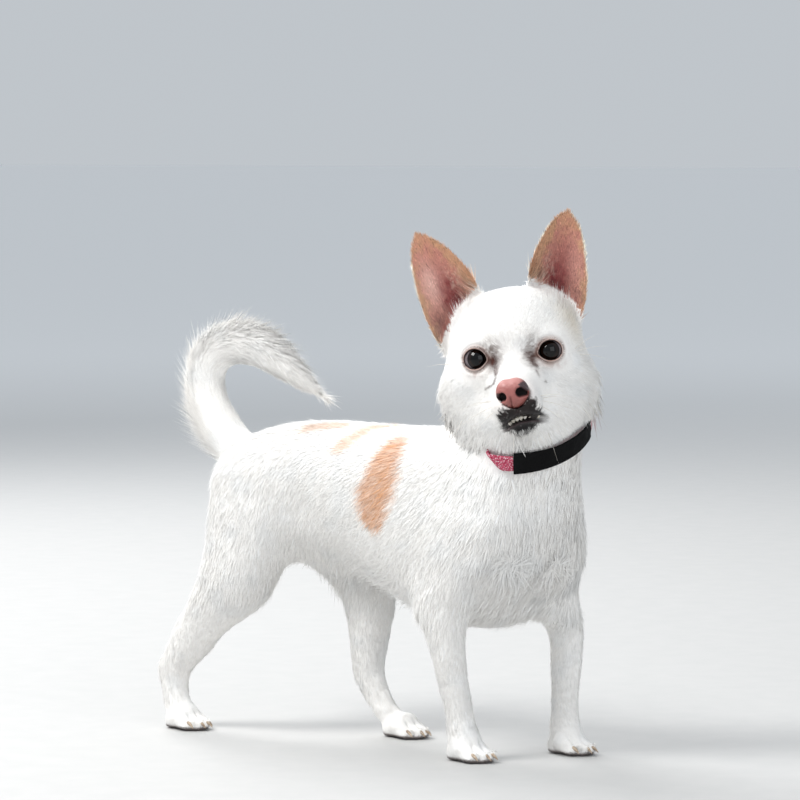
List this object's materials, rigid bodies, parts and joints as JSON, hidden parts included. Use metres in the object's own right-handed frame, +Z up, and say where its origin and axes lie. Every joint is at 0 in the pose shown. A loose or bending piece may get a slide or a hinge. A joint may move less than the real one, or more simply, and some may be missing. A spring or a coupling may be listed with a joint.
{
  "type": "chihuahua model",
  "caption": "Life-size standing chihuahua model with its head turned to its right, upright ears, tail curled over its back, and a worn collar with a cloth sleeve.",
  "frame": {"origin": "middle of the footprint of the whole model, on the floor", "axes": "+Z up, the chest faces -Y, +X to the dog's left; the head is turned towards -X"},
  "size_m": [0.1418, 0.3734, 0.3753],
  "materials": {
    "coat": "short dense hair",
    "nose_leather": "moist satin",
    "eye": "polished",
    "ear_skin": "thin skin with fine hair",
    "webbing": "woven webbing",
    "sleeve_cloth": "matte cloth"
  },
  "bodies": {
    "root": {"head": "coat", "nose": "nose_leather", "eye_right": "eye", "eye_left": "eye", "ear_right": "ear_skin", "ear_left": "ear_skin", "neck": "coat", "chest": "coat", "loin": "coat", "haunches": "coat", "foreleg_right": "coat", "forepaw_right": "coat", "foreleg_left": "coat", "forepaw_left": "coat", "hindleg_right": "coat", "hindpaw_right": "coat", "hindleg_left": "coat", "hindpaw_left": "coat", "tail_base": "coat", "tail_bend": "coat", "tail_tip": "coat", "collar_band": "webbing", "collar_sleeve": "sleeve_cloth"}
  },
  "joints": []
}
